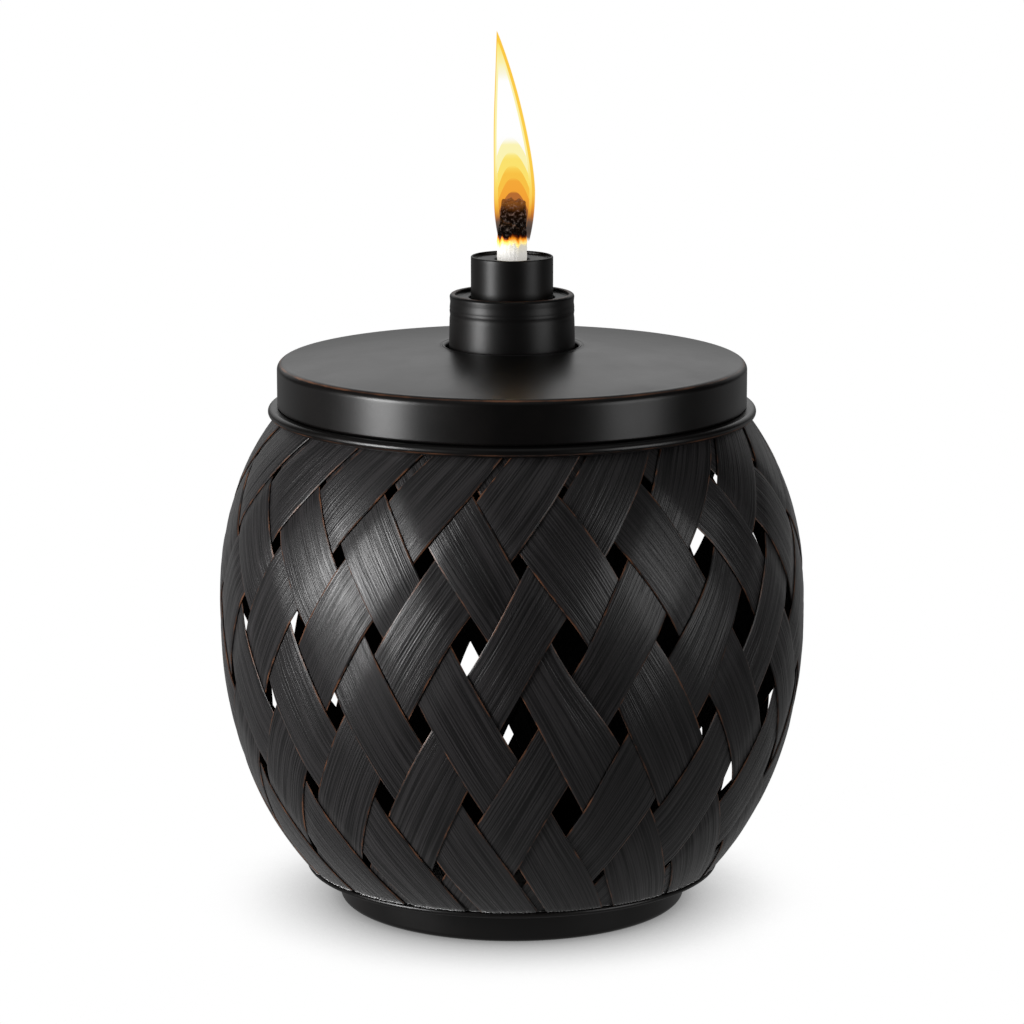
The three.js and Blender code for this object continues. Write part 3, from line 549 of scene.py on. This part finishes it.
def makeSplint(side, k, lacquer, pith):
    name = "right" if side > 0 else "left"
    node = f"splint_{name}_{k + 1:02d}"
    here = splintTurn(side, k)
    rng = np.random.default_rng(1000 * (side + 2) + k)
    ends = sorted(here + 2 * side * t for t in (np.interp(splintFoot, courseZ, courseTurn),
                                               np.interp(splintTop, courseZ, courseTurn)))
    at = np.arange(ends[0] - weave["endMargin"], ends[1] + weave["endMargin"], weave["rowTurn"])
    across = np.concatenate([[-1, -0.975], np.linspace(-0.93, 0.93, weave["columns"] - 4), [0.975, 1]])
    atGrid, acrossGrid = np.meshgrid(at, across, indexing="ij")
    wander = sum(size * np.sin(atGrid / length + rng.uniform(0, 6)) for size, length in weave["wander"])
    z = np.full_like(atGrid, weave["bellyHeight"])
    edge = np.full_like(z, here)
    for _ in range(8):  # an edge's turn and its height depend on each other, so both are settled step by step
        turns = (edge + atGrid) / 2
        perMm = np.degrees(1 / (barrel(z)[0] * np.cos(leanAt(z))))
        back = np.where(acrossGrid < 0, looseness(turns[:, :1], z[:, :1]), looseness(turns[:, -1:], z[:, -1:]))
        edge = here + acrossGrid * (halfTurn(side, k, z) - back * perMm) + wander
        z = np.interp(side * (atGrid - edge) / 2, courseTurn, courseZ)
    level = splintLevel(side, k, at)[:, None]
    streaks = rng.normal(0, 1, (len(across), 3))
    ridges = sum(streaks[:, i] * np.cos(at[:, None] / (17 + 11 * i) + rng.uniform(0, 6, len(across)))
                 for i in range(3)) * weave["ridge"]
    ridges[:, [0, -1]] = 0
    middle = weave["middleDepth"] - level + weave["crown"] * acrossGrid ** 2
    # thinner towards the rounded long edges
    edgeShare = np.where(np.abs(acrossGrid) >= 1, 0.35, np.where(np.abs(acrossGrid) > 0.97, 0.8, 1.0))
    halfThick = weave["thick"] / 2 * edgeShare
    radius, slope = barrel(z)
    angle = np.radians((edge + atGrid) / 2)
    rows = []
    for depth in (middle - halfThick + ridges, middle + halfThick):
        along = depth / np.hypot(1, slope)
        r = radius - along
        rows.append(np.stack([r * np.sin(angle), -r * np.cos(angle), z + along * slope], axis=-1))
    outer, inner = rows
    ring = np.concatenate([outer, inner[:, ::-1]], axis=1)
    # the ends are cut level: rows past a cut are drawn in to it, and those left with hardly any height go
    topCut = splintTop - 0.02
    ring[..., 2] = np.clip(ring[..., 2], weave["footCut"], topCut)
    keep = ring[..., 2].max(axis=1) - ring[..., 2].min(axis=1) > 0.3
    first, last = np.argmax(keep), len(keep) - 1 - np.argmax(keep[::-1])
    ring = ring[first:last + 1]
    at = at[first:last + 1]
    rowCount, loop = ring.shape[:2]
    vertices = ring.reshape(-1, 3)
    index = np.arange(rowCount * loop).reshape(rowCount, loop)
    turned = np.roll(index, -1, axis=1)
    quads = np.stack([index[:-1], turned[:-1], turned[1:], index[1:]], axis=-1).reshape(-1, 4)
    if side < 0:
        quads = quads[:, ::-1]
    columns = len(across)
    caps = []
    for row, flip in ((index[0], side > 0), (index[-1], side < 0)):
        for c in range(columns - 1):
            cap = [row[c], row[c + 1], row[loop - 2 - c], row[loop - 1 - c]]
            caps.append(cap[::-1] if flip else cap)
    faces = np.concatenate([quads, np.array(caps)])
    mesh = bpy.data.meshes.new(node)
    mesh.from_pydata((vertices / 1000).tolist(), [], faces.tolist())
    width = splintWidth[side][k]
    acrossMm = np.concatenate([across, across[::-1]]) * width / 2
    # half of a crosswise turn is a splint's own turn, and it leans about 30 degrees
    alongMm = at * math.radians(0.5) * weave["belly"] / math.sin(math.radians(30))
    ownGrain = 41.3 * k + (0 if side > 0 else 977)  # so no two splints share their fibres
    uv = np.stack(np.broadcast_arrays(acrossMm[None, :] + ownGrain, alongMm[:, None]), axis=-1).reshape(-1, 2)
    corner = np.empty(len(mesh.loops), dtype=np.int32)
    mesh.loops.foreach_get("vertex_index", corner)
    layer = mesh.uv_layers.new(name="grain")
    layer.data.foreach_set("uv", uv[corner].astype(np.float32).ravel())
    wearAcross = np.interp(np.abs(np.concatenate([across, across[::-1]])), [0.9, 0.965, 1], [0, 0.75, 1])
    wear = mesh.attributes.new("wear", "FLOAT", "POINT")
    wear.data.foreach_set("value", np.tile(wearAcross, rowCount).astype(np.float32))
    mesh.update()
    finishPiece(f"splint{name.capitalize()}{k + 1:02d}", mesh, node, lacquer)
    # the inner face and the level-cut ends are bare pith, coloured near black as painted shade
    mesh.materials.append(pith)
    bare = np.zeros(len(faces), dtype=np.int32)
    bare[:len(quads)].reshape(rowCount - 1, loop)[:, columns:-1] = 1
    cornerHeights = vertices[faces][..., 2]
    bare[(cornerHeights < weave["footCut"] + 0.01).all(axis=1) | (cornerHeights > topCut - 0.01).all(axis=1)] = 1
    mesh.polygons.foreach_set("material_index", bare)
    mesh.set_sharp_from_angle(angle=math.radians(weave["sharpAngle"]))


splintPith = pithPaintedShade()
splintLacquer = lacqueredBamboo()
for side in (1, -1):
    for k in range(weave["splints"]):
        makeSplint(side, k, splintLacquer, splintPith)
print("weave made:", 2 * weave["splints"], "splints")

steel = bronzedSteel("satinBronzedSheet", bronze["sheetRoughness"])
capSteel = bronzedSteel("satinBronzedCap", bronze["capRoughness"], bronze["capShine"])
foot = {"radius": 53.5, "round": 1.7, "height": 10.6, "sheet": 0.7, "standWidth": 6.7, "recess": 1.5,
        "ringRadius": 64.0, "lip": 0.85}
standOuter = foot["radius"] - foot["round"]
standInner = standOuter - foot["standWidth"]
lipMiddle = foot["ringRadius"] - foot["lip"]
ledge = foot["height"] + foot["sheet"]
footOutline = [
    (0, foot["recess"]), (standInner - 2.2, foot["recess"]), (standInner - 1.4, foot["recess"] - 0.25),
    (standInner - 0.5, 0.15), (standInner, 0), (standOuter, 0),
    *arcPoints(standOuter, foot["round"], foot["round"], -80, 0, 10),
    (foot["radius"], foot["height"] - 2.2),
    *arcPoints(foot["radius"] + 1.4, foot["height"] - 1.4, 1.4, 180, 92, 8),
    (foot["radius"] + 4, foot["height"]), (lipMiddle - 1.6, foot["height"] + 0.02),
    *arcPoints(lipMiddle, foot["height"] + foot["lip"], foot["lip"], -90, 20, 10, 0.35),
    *arcPoints(lipMiddle, foot["height"] + foot["lip"], foot["lip"], 35, 180, 12, 0.1),
    (lipMiddle - foot["lip"], ledge), (foot["radius"] + 0.6, ledge), (foot["radius"] - foot["sheet"], ledge - 1.3),
    (foot["radius"] - foot["sheet"], foot["round"]), (standOuter, foot["sheet"]), (standInner + 0.3, foot["sheet"]),
    (standInner - 1.2, foot["recess"] + foot["sheet"]), (0, foot["recess"] + foot["sheet"]),
]
spinPiece("footDish", footOutline, "foot_dish", steel)

hoop = {"behind": 3.4, "sheet": 0.7, "tilt": 0.8}  # it lies behind the splints, along the outline


def makeHoop(name, node):
    low, high = boxMm(node)
    heights = np.linspace(low[2], high[2], 6)
    radius, slope = barrel(heights)
    outer = [(r - hoop["behind"] * math.hypot(1, s), z, 0.5) for r, s, z in zip(radius, slope, heights)]
    inner = [(r - hoop["sheet"] * math.hypot(1, hoop["tilt"]), z, 0.2) for r, z, _ in outer[::-1]]
    spinPiece(name, outer + inner, node, steel)


makeHoop("footHoop", "foot_hoop")
makeHoop("rimHoop", "rim_hoop")

rim = {"beadRadius": 74.45, "bead": 1.45, "neckRadius": 69.7, "sheet": 0.7}
rimLow, rimHigh = boxMm("rim_band")
ledgeTop = rimLow[2] + 2 * rim["bead"]
joins = math.degrees(math.asin((rim["bead"] - rim["sheet"]) / rim["bead"]))
rimOutline = [
    (rim["neckRadius"] - rim["sheet"], ledgeTop - rim["sheet"]),
    *arcPoints(rim["beadRadius"] - rim["bead"], ledgeTop - rim["bead"], rim["bead"], 180 - joins, 315, 14, 0.1),
    *arcPoints(rim["beadRadius"] - rim["bead"], ledgeTop - rim["bead"], rim["bead"], 325, 340, 3, 0.62),
    *arcPoints(rim["beadRadius"] - rim["bead"], ledgeTop - rim["bead"], rim["bead"], 350, 450, 12, 0.1),
    (rim["neckRadius"] + 0.5, ledgeTop), (rim["neckRadius"], ledgeTop + 0.5),
    (rim["neckRadius"], rimHigh[2] - 0.3, 0.5), (rim["neckRadius"] - 0.35, rimHigh[2], 1),
    (rim["neckRadius"] - rim["sheet"], rimHigh[2] - 0.3, 0.5),
]
spinPiece("rimBand", rimOutline, "rim_band", steel, segments=256)
print("basket frame made")

lid = {"radius": 71.6, "round": 2.4, "sheet": 0.7, "skirt": 13.4, "crown": 5.3, "hole": 20.2, "curl": 1.0}
lidLow, _ = boxMm("lid")
lidEdge = lidLow[2] + lid["skirt"]
flatEdge = lid["radius"] - lid["round"]


def crownAt(r):
    return lidEdge + lid["crown"] * (1 - (r / flatEdge) ** 2)


lidRings = np.linspace(flatEdge - 0.6, lid["hole"] + lid["curl"] + 0.9, 26)
curlTop = crownAt(lid["hole"] + lid["curl"])
seat = [(r, crownAt(r) - 0.3 * math.exp(-((r - lid["hole"] - 1.35) / 0.3) ** 2))
        for r in np.linspace(lid["hole"] + 1.85, lid["hole"] + 1.05, 9)]  # a shallow pressed ring round the hole
lidOutline = [
    (lid["radius"] - lid["sheet"], lidLow[2]), (lid["radius"] - 0.25, lidLow[2], 0.2),
    (lid["radius"], lidLow[2] + 0.3, 0.3), (lid["radius"], lidLow[2] + 0.7, 0.1),
    (lid["radius"], lidLow[2] + 5), (lid["radius"], lidEdge - lid["round"] - 0.4),
    *[(r, z, 0.95 * math.exp(-((z - lidEdge + 0.5) / 0.3) ** 2)) for r, z, _ in
      arcPoints(flatEdge, lidEdge - lid["round"], lid["round"], 0, 84, 20)],
    (flatEdge + 0.1, lidEdge, 0.1), (flatEdge - 0.5, crownAt(flatEdge - 0.5)),
    *[(r, crownAt(r), 0.0) for r in lidRings],
    *seat,
    *arcPoints(lid["hole"] + lid["curl"], curlTop - lid["curl"], lid["curl"], 90, 180, 8, 0.45),
    (lid["hole"] + lid["sheet"], curlTop - lid["curl"]), (lid["hole"] + lid["curl"], curlTop - lid["sheet"]),
    *[(r, crownAt(r) - lid["sheet"], 0.0) for r in lidRings[::-1]],
    *arcPoints(flatEdge, lidEdge - lid["round"], lid["round"] - lid["sheet"], 90, 0, 6),
]
spinPiece("lid", lidOutline, "lid", steel, segments=256)
print("lid made")

tankSteel = steelInPaintedShade()
tank = {"radius": 52.0, "sheet": 0.7, "round": 3.0, "seam": 2.0, "pressedRings": (16, 19, 30, 33),
        "neckFlange": 3.3, "neckRadius": 17.2, "threadBelow": 2.6, "threadPitch": 4.23, "threadDepth": 0.65,
        "threadWidth": 0.75, "threadTurns": 2.4}
cupLow, cupHigh = boxMm("tank_cup")
cupOuter = [
    (0, cupLow[2]), (tank["radius"] - 9, cupLow[2]), (tank["radius"] - 8, cupLow[2] + 0.8),
    (tank["radius"] - 6.5, cupLow[2] + 0.8), (tank["radius"] - 5.5, cupLow[2]),
    *arcPoints(tank["radius"] - tank["round"], cupLow[2] + tank["round"], tank["round"], -90, 0, 8),
]
for z in (cupLow[2] + rise for rise in tank["pressedRings"]):  # they stiffen the cup's wall
    cupOuter += [(tank["radius"], z - 0.9), (tank["radius"] - 0.25, z), (tank["radius"], z + 0.9)]
cupTop = cupHigh[2]
cupInside = tank["radius"] - tank["sheet"]
cupOuter += [
    (tank["radius"], cupTop - tank["sheet"] - 0.4), (tank["radius"] + 0.4, cupTop - tank["sheet"]),
    *arcPoints(tank["radius"] + tank["seam"] - 0.35, cupTop - 0.35, 0.35, -90, 90, 6),
    (cupInside, cupTop), (cupInside, cupLow[2] + tank["round"]), (cupInside - 2.3, cupLow[2] + tank["sheet"]),
    (0, cupLow[2] + tank["sheet"] + 0.001),
]
spinPiece("tankCup", cupOuter, "tank_cup", tankSteel, segments=128)

plateLow, plateHigh = boxMm("tank_top")
plateEdge = plateHigh[0]
shoulder = tank["radius"] - tank["round"]
deckEdge = tank["neckRadius"] + tank["neckFlange"] + 1.5
neckHole = tank["neckRadius"] + 0.45
plateOutline = [
    (plateEdge - 0.35, plateLow[2], 0.3), (plateEdge, plateLow[2] + 0.35, 0.6),
    (plateEdge - 0.35, plateLow[2] + tank["sheet"], 0.4), (shoulder + 4, plateLow[2] + tank["sheet"]),
    (shoulder + 2.5, plateLow[2] + tank["sheet"] - 0.3), (shoulder + 1, plateLow[2] + tank["sheet"]),
    (shoulder, plateLow[2] + tank["sheet"]),
    ((shoulder + deckEdge) / 2, (plateLow[2] + plateHigh[2] + tank["sheet"]) / 2 + 0.25),
    (deckEdge, plateHigh[2]), (neckHole + 0.4, plateHigh[2]), (neckHole, plateHigh[2] - 0.3),
    (neckHole, plateHigh[2] - tank["sheet"]), (deckEdge, plateHigh[2] - tank["sheet"]),
    ((shoulder + deckEdge) / 2, (plateLow[2] + plateHigh[2] - tank["sheet"]) / 2 + 0.1),
    (shoulder, plateLow[2]),
]
spinPiece("tankTop", plateOutline, "tank_top", tankSteel, segments=160)

neckLow, neckHigh = boxMm("tank_neck")
neckInner = tank["neckRadius"] - tank["sheet"]
threadStart = neckHigh[2] - tank["threadBelow"] - tank["threadPitch"] * tank["threadTurns"]


def threadAt(point, turn):  # raises a rounded screw thread on the neck's outside
    radius = math.hypot(point.x, point.y)
    if radius < tank["neckRadius"] - 0.05 or radius > tank["neckRadius"] + 0.05 or point.z < threadStart - 3:
        return point
    climb = (point.z - threadStart) / tank["threadPitch"] - turn / (2 * math.pi)
    nearest = round(climb)
    progress = nearest + turn / (2 * math.pi)
    fade = max(0.0, min(1.0, progress * 3)) * max(0.0, min(1.0, (tank["threadTurns"] - progress) * 3))
    offset = (climb - nearest) * tank["threadPitch"]
    bulge = math.exp(-(offset / tank["threadWidth"]) ** 2) * tank["threadDepth"] * fade
    return Vector((point.x * (radius + bulge) / radius, point.y * (radius + bulge) / radius, point.z))


neckOutline = [
    (neckInner, neckLow[2]), (tank["neckRadius"] + tank["neckFlange"], neckLow[2]),
    (tank["neckRadius"] + tank["neckFlange"], neckLow[2] + tank["sheet"]),
    (tank["neckRadius"], neckLow[2] + tank["sheet"]),
    *[(tank["neckRadius"], z) for z in np.arange(neckLow[2] + 1.2, neckHigh[2] - 0.5, 0.28)],
    (tank["neckRadius"] - 0.1, neckHigh[2] - 0.1), (tank["neckRadius"] - 0.3, neckHigh[2]),
    (neckInner, neckHigh[2] - 0.1),
]
spinPiece("tankNeck", neckOutline, "tank_neck", tankSteel, segments=128, reshape=threadAt)

gasket = {"bore": 13.2, "innerRound": 0.15, "outerRound": 0.2}
gasketLow, gasketHigh = boxMm("neck_gasket")
gasketFoot, gasketTop, gasketOuter = gasketLow[2], gasketHigh[2], gasketHigh[0]
gasketOutline = [
    (gasket["bore"], gasketFoot + gasket["innerRound"]), (gasket["bore"] + gasket["innerRound"], gasketFoot),
    (gasketOuter - gasket["outerRound"], gasketFoot), (gasketOuter, (gasketFoot + gasketTop) / 2),
    (gasketOuter - gasket["outerRound"], gasketTop), (gasket["bore"] + gasket["innerRound"], gasketTop),
    (gasket["bore"], gasketTop - gasket["innerRound"]),
]
spinPiece("neckGasket", gasketOutline, "neck_gasket", nitrileRubber(), segments=96)
print("tank made")

collar = {"radius": 19.3, "taper": 0.4, "sheet": 0.7, "groove": 0.15, "grooveWidth": 1.3, "grooveBelow": 6.4,
          "ridge": 0.16, "rimHeight": 1.3, "rimWidth": 1.3, "tubeHole": 13.1}
collarLow, collarHigh = boxMm("burner_collar")
collarTopRadius = collar["radius"] - collar["taper"]
grooveHeight = collarHigh[2] - collar["grooveBelow"]
collarFlat = collarHigh[2] - collar["rimHeight"]
ridge = [(collarTopRadius - 0.1 + collar["ridge"] * math.exp(-((z - grooveHeight - 2.2) / 0.9) ** 2), z)
         for z in np.linspace(grooveHeight + 1.5, grooveHeight + 4.2, 9)]
grooveBends = [(collarTopRadius + 0.1 - collar["groove"] * (0.5 + 0.5 * math.cos(math.pi * s)),
                grooveHeight + collar["grooveWidth"] * s) for s in np.linspace(-1, 1, 11)]
collarOutline = [
    (collar["radius"] - collar["sheet"], collarLow[2]), (collar["radius"] - 0.15, collarLow[2], 0.2),
    (collar["radius"], collarLow[2] + 0.2, 0.3), (collar["radius"] - 0.1, collarLow[2] + 4),
    *[(r, z, 0.1) for r, z in grooveBends],
    *ridge,
    *arcPoints(collarTopRadius - 0.95, collarHigh[2] - 1.0, 1.0, 0, 60, 8, 0.25),
    *arcPoints(collarTopRadius - 0.95, collarHigh[2] - 1.0, 1.0, 70, 130, 6, 0.8),
    (collarTopRadius - collar["rimWidth"] - 0.5, collarFlat + 0.25, 0.2),
    (collarTopRadius - collar["rimWidth"] - 1.2, collarFlat + 0.02),
    (collar["tubeHole"] + 1.5, collarFlat + 0.1), (collar["tubeHole"] + 0.3, collarFlat + 0.25),
    (collar["tubeHole"], collarFlat + 0.05), (collar["tubeHole"], collarFlat - collar["sheet"]),
    (collarTopRadius - collar["sheet"] - 0.4, collarFlat - collar["sheet"]),
    (collarTopRadius - collar["sheet"], collarFlat - collar["sheet"] - 0.4),
]
spinPiece("burnerCollar", collarOutline, "burner_collar", capSteel, segments=160)

holder = {"radius": 12.5, "sheet": 0.7, "rim": 1.0, "hole": 5.35}
holderLow, holderHigh = boxMm("wick_holder")
holderInner = holder["radius"] - holder["sheet"]
holderFace = holderHigh[2] - holder["rim"]
holderOutline = [
    (holderInner, holderLow[2]), (holderHigh[0], holderLow[2]), (holderHigh[0], holderLow[2] + holder["sheet"]),
    (holder["radius"] + 0.5, holderLow[2] + holder["sheet"]), (holder["radius"], holderLow[2] + holder["sheet"] + 0.5),
    (holder["radius"], holderHigh[2] - 1.4),
    *arcPoints(holder["radius"] - 0.4, holderHigh[2] - 0.4, 0.4, 0, 90, 6, 0.4),
    (holderInner + 0.25, holderHigh[2], 0.5), (holderInner + 0.05, holderHigh[2] - 0.2, 0.3),
    (holderInner, holderFace + 0.25), (holderInner - 0.3, holderFace),
    (holder["hole"] + 0.45, holderFace + 0.12), (holder["hole"] + 0.1, holderFace - 0.1),
    (holder["hole"], holderFace - 0.4), (holder["hole"], holderFace - holder["sheet"]),
    (holderInner, holderFace - holder["sheet"] - 0.001),
]
spinPiece("wickHolder", holderOutline, "wick_holder", capSteel, segments=128)

guide = {"bore": 4.85, "sheet": 0.7, "bend": 0.5}
guideLow, guideHigh = boxMm("wick_guide")
guideOuter = guide["bore"] + guide["sheet"]
guideOutline = [
    (guide["bore"], guideLow[2] + 0.1), (guide["bore"] + guide["sheet"] / 2, guideLow[2]),
    (guideOuter, guideLow[2] + 0.1), (guideOuter, guideHigh[2] - guide["sheet"] - guide["bend"]),
    (guideOuter + guide["bend"], guideHigh[2] - guide["sheet"]), (guideHigh[0], guideHigh[2] - guide["sheet"]),
    (guideHigh[0], guideHigh[2]), (guide["bore"] + 0.3, guideHigh[2]), (guide["bore"], guideHigh[2] - 0.3),
]
spinPiece("wickGuide", guideOutline, "wick_guide", tankSteel, segments=96)
print("burner made")

wick = {"radius": 4.5, "strands": 11, "strandDepth": 0.09, "strandSlope": 1.35, "charFrom": 205.0, "crust": 0.38,
        "thinned": 0.12, "bent": 0.45, "sunk": 0.4}
wickLow, wickHigh = boxMm("wick")
wickTop = wickHigh[2]


def braidAndChar(point, turn):  # crossing strands below, and above them a crusted end that is thinned and bent by fire
    radius = math.hypot(point.x, point.y)
    if radius < 0.05:  # the middle of the top sinks a little
        return Vector((point.x, point.y, point.z - (wick["sunk"] if point.z > wick["charFrom"] else 0)))
    charShare = max(0.0, min(1.0, (point.z - wick["charFrom"]) / 3))
    around, up = wick["strands"] * turn, wick["strandSlope"] * point.z
    braid = math.sin(around + up) * math.sin(around - up)
    place = Vector((point.x, point.y, point.z)) * 0.75
    crust = noise.noise(place) * 0.65 + noise.noise(place * 2.7) * 0.35
    grown = radius + wick["strandDepth"] * braid * (1 - 0.6 * charShare) * min(1, radius / 3)
    grown += charShare * (wick["crust"] * crust - 0.16) * min(1, radius / 2)
    nearTop = max(0.0, min(1.0, (point.z - wickTop + 3) / 3))
    burnt = max(0.0, min(1.0, (point.z - wick["charFrom"] - 1) / 8))
    grown *= (1 - 0.06 * nearTop) * (1 - wick["thinned"] * burnt)
    drop = nearTop * (0.9 + 1.3 * noise.noise(Vector((point.x * 0.55, point.y * 0.55, 3.1))))
    return Vector((point.x / radius * grown + wick["bent"] * burnt, point.y / radius * grown,
                   point.z - max(0.0, drop)))


wickHeights = np.concatenate([np.arange(wickLow[2] + 0.3, 198, 0.9), np.arange(198.2, wickTop - 0.5, 0.3)])
wickOutline = [
    (0, wickLow[2]), (wick["radius"] - 0.4, wickLow[2]), *[(wick["radius"], z) for z in wickHeights],
    (wick["radius"] - 0.35, wickTop - 0.15), *[(r, wickTop) for r in np.linspace(wick["radius"] - 0.8, 0.4, 8)],
    (0, wickTop),
]
spinPiece("wick", wickOutline, "wick", charredWick(), segments=112, reshape=braidAndChar, sharpAngle=80)
print("wick made")

# left and right edge where it is widest, the tip's place, and how much the foot is drawn in
flame = {"left": -5.7, "right": 7.1, "tip": -4.6, "widestAt": 0.24, "tuck": 0.3, "thinnest": 0.02}
flameLow, flameHigh = boxMm("flame")
flameFoot, flameTip = flameLow[2], flameHigh[2]


def flameEdges(rise):  # middle and half width at a share of the height: nearly straight on the left, bowed on the right
    climb = max(0.0, (rise - flame["widestAt"]) / (1 - flame["widestAt"]))
    left = flame["left"] + (flame["tip"] - flame["left"]) * climb ** 1.5
    right = flame["tip"] + (flame["right"] - flame["tip"]) * max(0.0, 1 - climb ** 1.45) ** 0.92
    below = max(0.0, 1 - rise / flame["widestAt"])
    tuck = 1 - flame["tuck"] * below ** 2.2
    middle, half = (left + right) / 2, (right - left) / 2
    return middle, half * tuck


def flameShell(name, stops, inset, foot, top, roundness, fade, aside=0.0):
    # a shell of gas: it keeps inside the flame's edge by inset, closes in a round cone at its top, and fades over
    # a length at its foot and its top; eight can lie one in another before the innermost turn dark
    rows, segments = 72, 64
    bm = bmesh.new()
    riseLayer = bm.verts.layers.float.new("rise")
    denseLayer = bm.verts.layers.float.new("dense")
    rings = []
    for i in range(rows + 1):
        share = i / rows
        z = foot + (top - foot) * (1 - (1 - share) ** 1.3)
        rise = (z - flameFoot) / (flameTip - flameFoot)
        middle, half = flameEdges(rise)
        radius = half - inset
        if roundness:
            radius = min(radius, math.sqrt(max(0.0, top - z) * roundness))
        radius = max(flame["thinnest"], radius)
        ring = []
        for j in range(segments):
            turn = 2 * math.pi * j / segments
            lick = 1 + 0.02 * math.sin(2 * turn + 7 * rise) + 0.01 * math.sin(3 * turn - 11 * rise)
            x = middle + aside + radius * lick * math.sin(turn)
            vertex = bm.verts.new(Vector((x, -radius * lick * math.cos(turn), z)) / 1000)
            vertex[riseLayer] = rise
            vertex[denseLayer] = min(1.0, (z - foot) / fade[0]) * min(1.0, (top - z) / fade[1])
            ring.append(vertex)
        rings.append(ring)
    for low, high in zip(rings, rings[1:]):
        for j in range(segments):
            k = (j + 1) % segments
            bm.faces.new((low[j], low[k], high[k], high[j]))
    bm.faces.new(rings[0][::-1])
    bm.faces.new(rings[-1])
    bmesh.ops.recalc_face_normals(bm, faces=bm.faces)
    mesh = bpy.data.meshes.new(name)
    bm.to_mesh(mesh)
    bm.free()
    piece = bpy.data.objects.new(name, mesh)
    scene.collection.objects.link(piece)
    mesh.materials.append(flameGas(name + "Gas", stops))
    mesh.shade_smooth()
    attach(piece, bodyOfNode["flame"])
    return piece


mantle = flameShell("flameMantle", [(0.02, "#5a4a40"), (0.06, "#4b4441"), (0.09, "#685345"), (0.12, "#b56b32"),
                                    (0.16, "#e6962f"), (0.22, "#f8c146"), (0.4, "#fbcf4c"), (0.85, "#fbc945"),
                                    (1.0, "#fbc945")], 0.0, flameFoot, flameTip, None, (1.2, 0.4))
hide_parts("flame")
# name, colours by height, distance inside the edge, foot, top, roundness, fades at foot and top, shift sideways;
# the white core and the warmer inner zones are stacked from the outside in
shells = [
    ("Yellow", [(0.16, "#f8c146"), (0.28, "#fbe16d"), (0.38, "#fbf0a1"), (0.84, "#fbf3b3"), (0.93, "#fbe672")],
     0.6, 211.0, 265.2, 1.2, (6.0, 1.4), -0.35),
    ("White", [(0.4, "#fdfaee"), (0.5, "#ffffff"), (0.76, "#ffffff"), (0.8, "#faf6dc")],
     1.2, 225.0, 258.6, 0.95, (6.0, 3.0), -0.35),
    ("InnerCream", [(0.38, "#fbf3b3"), (0.46, "#fbf3b3"), (0.5, "#faf7e4")], 1.3, 222.0, 236.2, 3.4, (4.0, 2.6), -0.35),
    ("InnerStraw", [(0.3, "#fbe16d"), (0.39, "#fbe16d"), (0.43, "#fbee92")], 1.4, 217.0, 231.7, 3.4, (4.0, 1.2), -0.3),
    ("InnerGold", [(0.22, "#f8c146"), (0.32, "#f8c146"), (0.36, "#fbd65a")], 1.5, 213.0, 227.7, 3.4, (4.0, 1.2), -0.25),
    ("InnerOrange", [(0.12, "#c97d33"), (0.2, "#f3a336"), (0.3, "#f5a93a")], 1.6, 208.0, 223.9, 3.4, (4.0, 1.2), -0.2),
    ("InnerEmber", [(0.06, "#4b4441"), (0.1, "#57453a"), (0.16, "#a5622f"), (0.2, "#b56b32")],
     1.7, 205.6, 219.8, 3.4, (2.0, 0.8), -0.2),
]
for name, stops, inset, foot, top, roundness, fade, aside in shells:
    flameShell("flame" + name, stops, inset, foot, top, roundness, fade, aside)
print("flame made")
